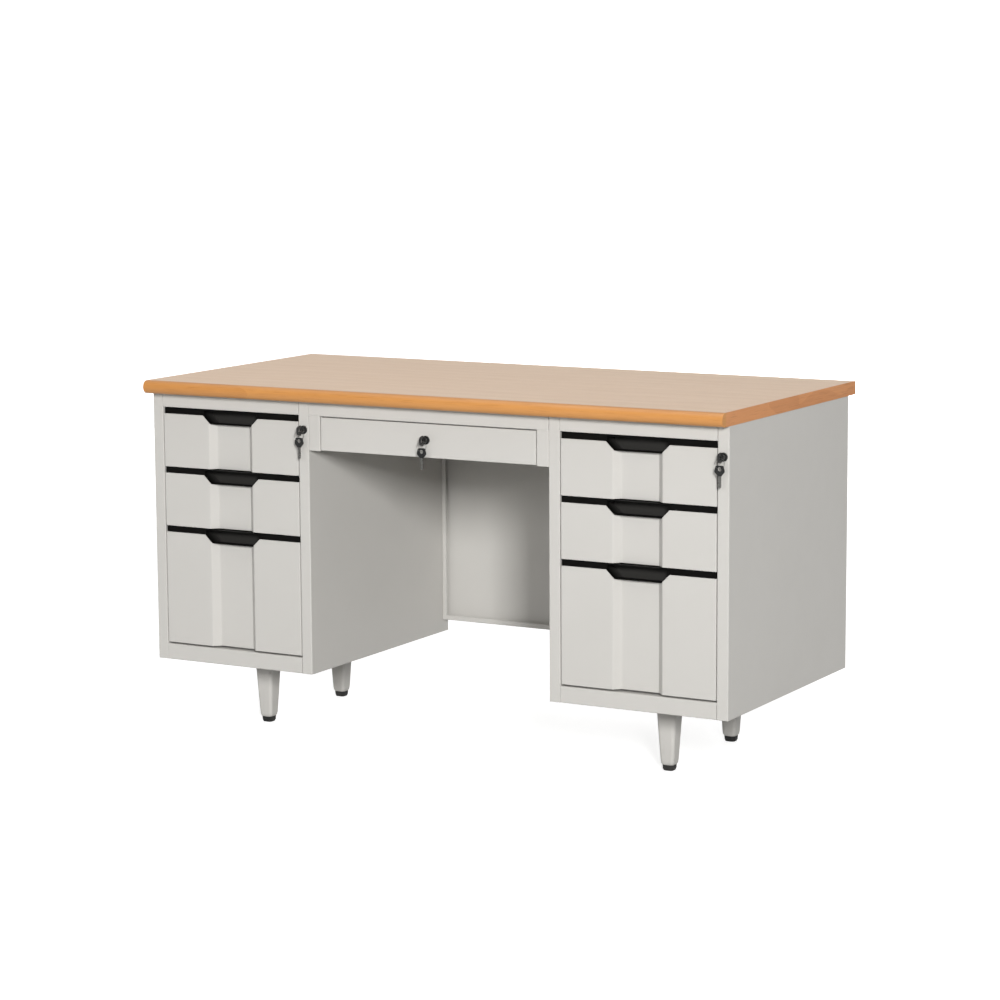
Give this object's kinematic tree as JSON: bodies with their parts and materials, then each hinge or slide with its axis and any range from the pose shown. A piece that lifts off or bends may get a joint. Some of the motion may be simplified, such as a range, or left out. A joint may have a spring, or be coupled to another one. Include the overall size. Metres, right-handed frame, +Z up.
{
  "type": "pedestal desk",
  "caption": "Steel double-pedestal office desk: wood-look laminate top, grey channelled drawer fronts with black scoop pulls, keyed gang locks, shallow centre drawer, tapered legs.",
  "frame": {"origin": "centre of the desk's footprint on the floor, under the glides", "axes": "+X to the desk's right seen from the front, -Y out of the drawer fronts, +Z up"},
  "size_m": [1.37, 0.665, 0.76],
  "materials": {
    "grey_paint": "satin baked enamel on sheet steel",
    "laminate": "pale wood-grain laminate, low gloss",
    "chipboard": "bare particle board, hidden",
    "nosing": "wood-coloured moulding, low gloss",
    "edge_band": "wood-coloured edge band, low gloss",
    "pull_plastic": "moulded black plastic, fine grain",
    "lock_black": "black lock nose and case",
    "key_metal": "nickel-plated key with black bow",
    "zinc_steel": "bright zinc plating",
    "glide": "moulded black glide"
  },
  "bodies": {
    "desk_body": {"desktop_board": "chipboard", "top_laminate": "laminate", "front_nosing": "nosing", "edge_bands": "edge_band", "apron": "grey_paint", "modesty_panel": "grey_paint", "leg_glides": "glide", "centre_runners": "zinc_steel", "left_outer_side": "grey_paint", "left_inner_side": "grey_paint", "left_back": "grey_paint", "left_base": "grey_paint", "left_top_rail": "grey_paint", "left_bottom_rail": "grey_paint", "left_front_leg": "grey_paint", "left_rear_leg": "grey_paint", "left_runners": "zinc_steel", "left_lock_case": "lock_black", "right_outer_side": "grey_paint", "right_inner_side": "grey_paint", "right_back": "grey_paint", "right_base": "grey_paint", "right_top_rail": "grey_paint", "right_bottom_rail": "grey_paint", "right_front_leg": "grey_paint", "right_rear_leg": "grey_paint", "right_runners": "zinc_steel", "right_lock_case": "lock_black"},
    "left_upper_drawer": {"left_upper_drawer_front": "grey_paint", "left_upper_drawer_pull": "pull_plastic", "left_upper_drawer_box": "grey_paint"},
    "left_middle_drawer": {"left_middle_drawer_front": "grey_paint", "left_middle_drawer_pull": "pull_plastic", "left_middle_drawer_box": "grey_paint"},
    "left_lower_drawer": {"left_lower_drawer_front": "grey_paint", "left_lower_drawer_pull": "pull_plastic", "left_lower_drawer_box": "grey_paint"},
    "right_upper_drawer": {"right_upper_drawer_front": "grey_paint", "right_upper_drawer_pull": "pull_plastic", "right_upper_drawer_box": "grey_paint"},
    "right_middle_drawer": {"right_middle_drawer_front": "grey_paint", "right_middle_drawer_pull": "pull_plastic", "right_middle_drawer_box": "grey_paint"},
    "right_lower_drawer": {"right_lower_drawer_front": "grey_paint", "right_lower_drawer_pull": "pull_plastic", "right_lower_drawer_box": "grey_paint"},
    "centre_drawer": {"centre_drawer_front": "grey_paint", "centre_drawer_box": "grey_paint", "centre_lock_case": "lock_black"},
    "left_key_and_plug": {"left_lock_plug": "zinc_steel", "left_key": "key_metal"},
    "left_spare_key": {"left_spare_key": "key_metal"},
    "right_key_and_plug": {"right_lock_plug": "zinc_steel", "right_key": "key_metal"},
    "right_spare_key": {"right_spare_key": "key_metal"},
    "centre_key_and_plug": {"centre_lock_plug": "zinc_steel", "centre_key": "key_metal"},
    "centre_spare_key": {"centre_spare_key": "key_metal"},
    "left_lock_bar": {"left_lock_bar": "zinc_steel"},
    "right_lock_bar": {"right_lock_bar": "zinc_steel"}
  },
  "joints": [
    {"name": "left_upper_drawer_slide", "type": "slide", "parent": "desk_body", "child": "left_upper_drawer", "axis": [0, -1, 0], "range_m": [0, 0.33]},
    {"name": "left_middle_drawer_slide", "type": "slide", "parent": "desk_body", "child": "left_middle_drawer", "axis": [0, -1, 0], "range_m": [0, 0.33]},
    {"name": "left_lower_drawer_slide", "type": "slide", "parent": "desk_body", "child": "left_lower_drawer", "axis": [0, -1, 0], "range_m": [0, 0.33]},
    {"name": "right_upper_drawer_slide", "type": "slide", "parent": "desk_body", "child": "right_upper_drawer", "axis": [0, -1, 0], "range_m": [0, 0.33]},
    {"name": "right_middle_drawer_slide", "type": "slide", "parent": "desk_body", "child": "right_middle_drawer", "axis": [0, -1, 0], "range_m": [0, 0.33]},
    {"name": "right_lower_drawer_slide", "type": "slide", "parent": "desk_body", "child": "right_lower_drawer", "axis": [0, -1, 0], "range_m": [0, 0.33]},
    {"name": "centre_drawer_slide", "type": "slide", "parent": "desk_body", "child": "centre_drawer", "axis": [0, -1, 0], "range_m": [0, 0.28]},
    {"name": "left_key_turn", "type": "hinge", "parent": "desk_body", "child": "left_key_and_plug", "pos_m": [-0.2985, -0.3005, 0.671], "axis": [0, -1, 0], "range_deg": [0, 90]},
    {"name": "left_spare_key_swing", "type": "hinge", "parent": "left_key_and_plug", "child": "left_spare_key", "pos_m": [-0.2985, -0.3152, 0.6499], "axis": [0, -1, 0], "range_deg": [-90, 0]},
    {"name": "right_key_turn", "type": "hinge", "parent": "desk_body", "child": "right_key_and_plug", "pos_m": [0.6715, -0.3005, 0.671], "axis": [0, -1, 0], "range_deg": [0, 90]},
    {"name": "right_spare_key_swing", "type": "hinge", "parent": "right_key_and_plug", "child": "right_spare_key", "pos_m": [0.6715, -0.3152, 0.6499], "axis": [0, -1, 0], "range_deg": [-90, 0]},
    {"name": "centre_key_turn", "type": "hinge", "parent": "centre_drawer", "child": "centre_key_and_plug", "pos_m": [0, -0.3005, 0.666], "axis": [0, -1, 0], "range_deg": [0, 90]},
    {"name": "centre_spare_key_swing", "type": "hinge", "parent": "centre_key_and_plug", "child": "centre_spare_key", "pos_m": [0, -0.3152, 0.6449], "axis": [0, -1, 0], "range_deg": [-90, 0]},
    {"name": "left_lock_bar_slide", "type": "slide", "parent": "desk_body", "child": "left_lock_bar", "axis": [0, 0, 1], "range_m": [-0.0085, 0]},
    {"name": "right_lock_bar_slide", "type": "slide", "parent": "desk_body", "child": "right_lock_bar", "axis": [0, 0, 1], "range_m": [-0.0085, 0]}
  ],
  "couplings": [
    {"joint": "left_spare_key_swing", "follows": "left_key_turn", "ratio": -1},
    {"joint": "right_spare_key_swing", "follows": "right_key_turn", "ratio": -1},
    {"joint": "centre_spare_key_swing", "follows": "centre_key_turn", "ratio": -1},
    {"joint": "left_lock_bar_slide", "follows": "left_key_turn", "m_per_rad": -0.0054},
    {"joint": "right_lock_bar_slide", "follows": "right_key_turn", "m_per_rad": -0.0054}
  ]
}
